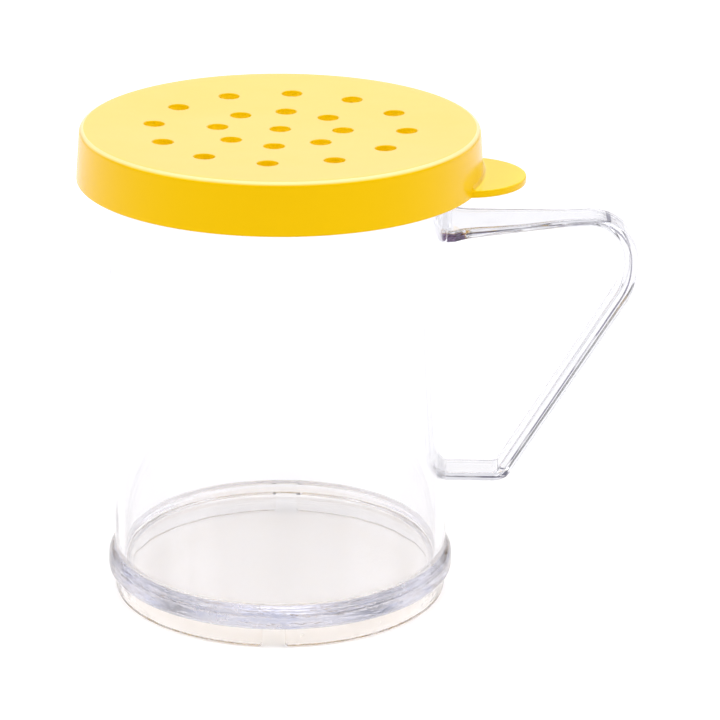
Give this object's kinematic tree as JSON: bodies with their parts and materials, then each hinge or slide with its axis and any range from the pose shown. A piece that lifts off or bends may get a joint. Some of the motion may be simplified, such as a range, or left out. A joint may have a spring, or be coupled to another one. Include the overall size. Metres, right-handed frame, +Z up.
{
  "type": "spice shaker",
  "caption": "Clear plastic shaker cup with a bent strap handle, a beaded notched foot and a yellow perforated lid with a thumb tab.",
  "frame": {"origin": "middle of the whole object's footprint, on the surface that the foot skirt stands on; the cup's axis is 16.2 mm from it towards -X", "axes": "+Z up along the cup's axis, +X from the cup towards its handle, +Y to the left of someone who looks from the cup towards the handle"},
  "size_m": [0.1164, 0.084, 0.1015],
  "materials": {
    "clear_plastic": "water-clear polished moulded polycarbonate",
    "yellow_plastic": "opaque satin moulded polyethylene"
  },
  "bodies": {
    "cup": {"cup_body": "clear_plastic", "handle": "clear_plastic"},
    "lid": {"shaker_lid": "yellow_plastic"}
  },
  "joints": [
    {"name": "lid_lift", "type": "slide", "parent": "cup", "child": "lid", "axis": [0, 0, 1], "range_m": [0, 0.05]}
  ]
}
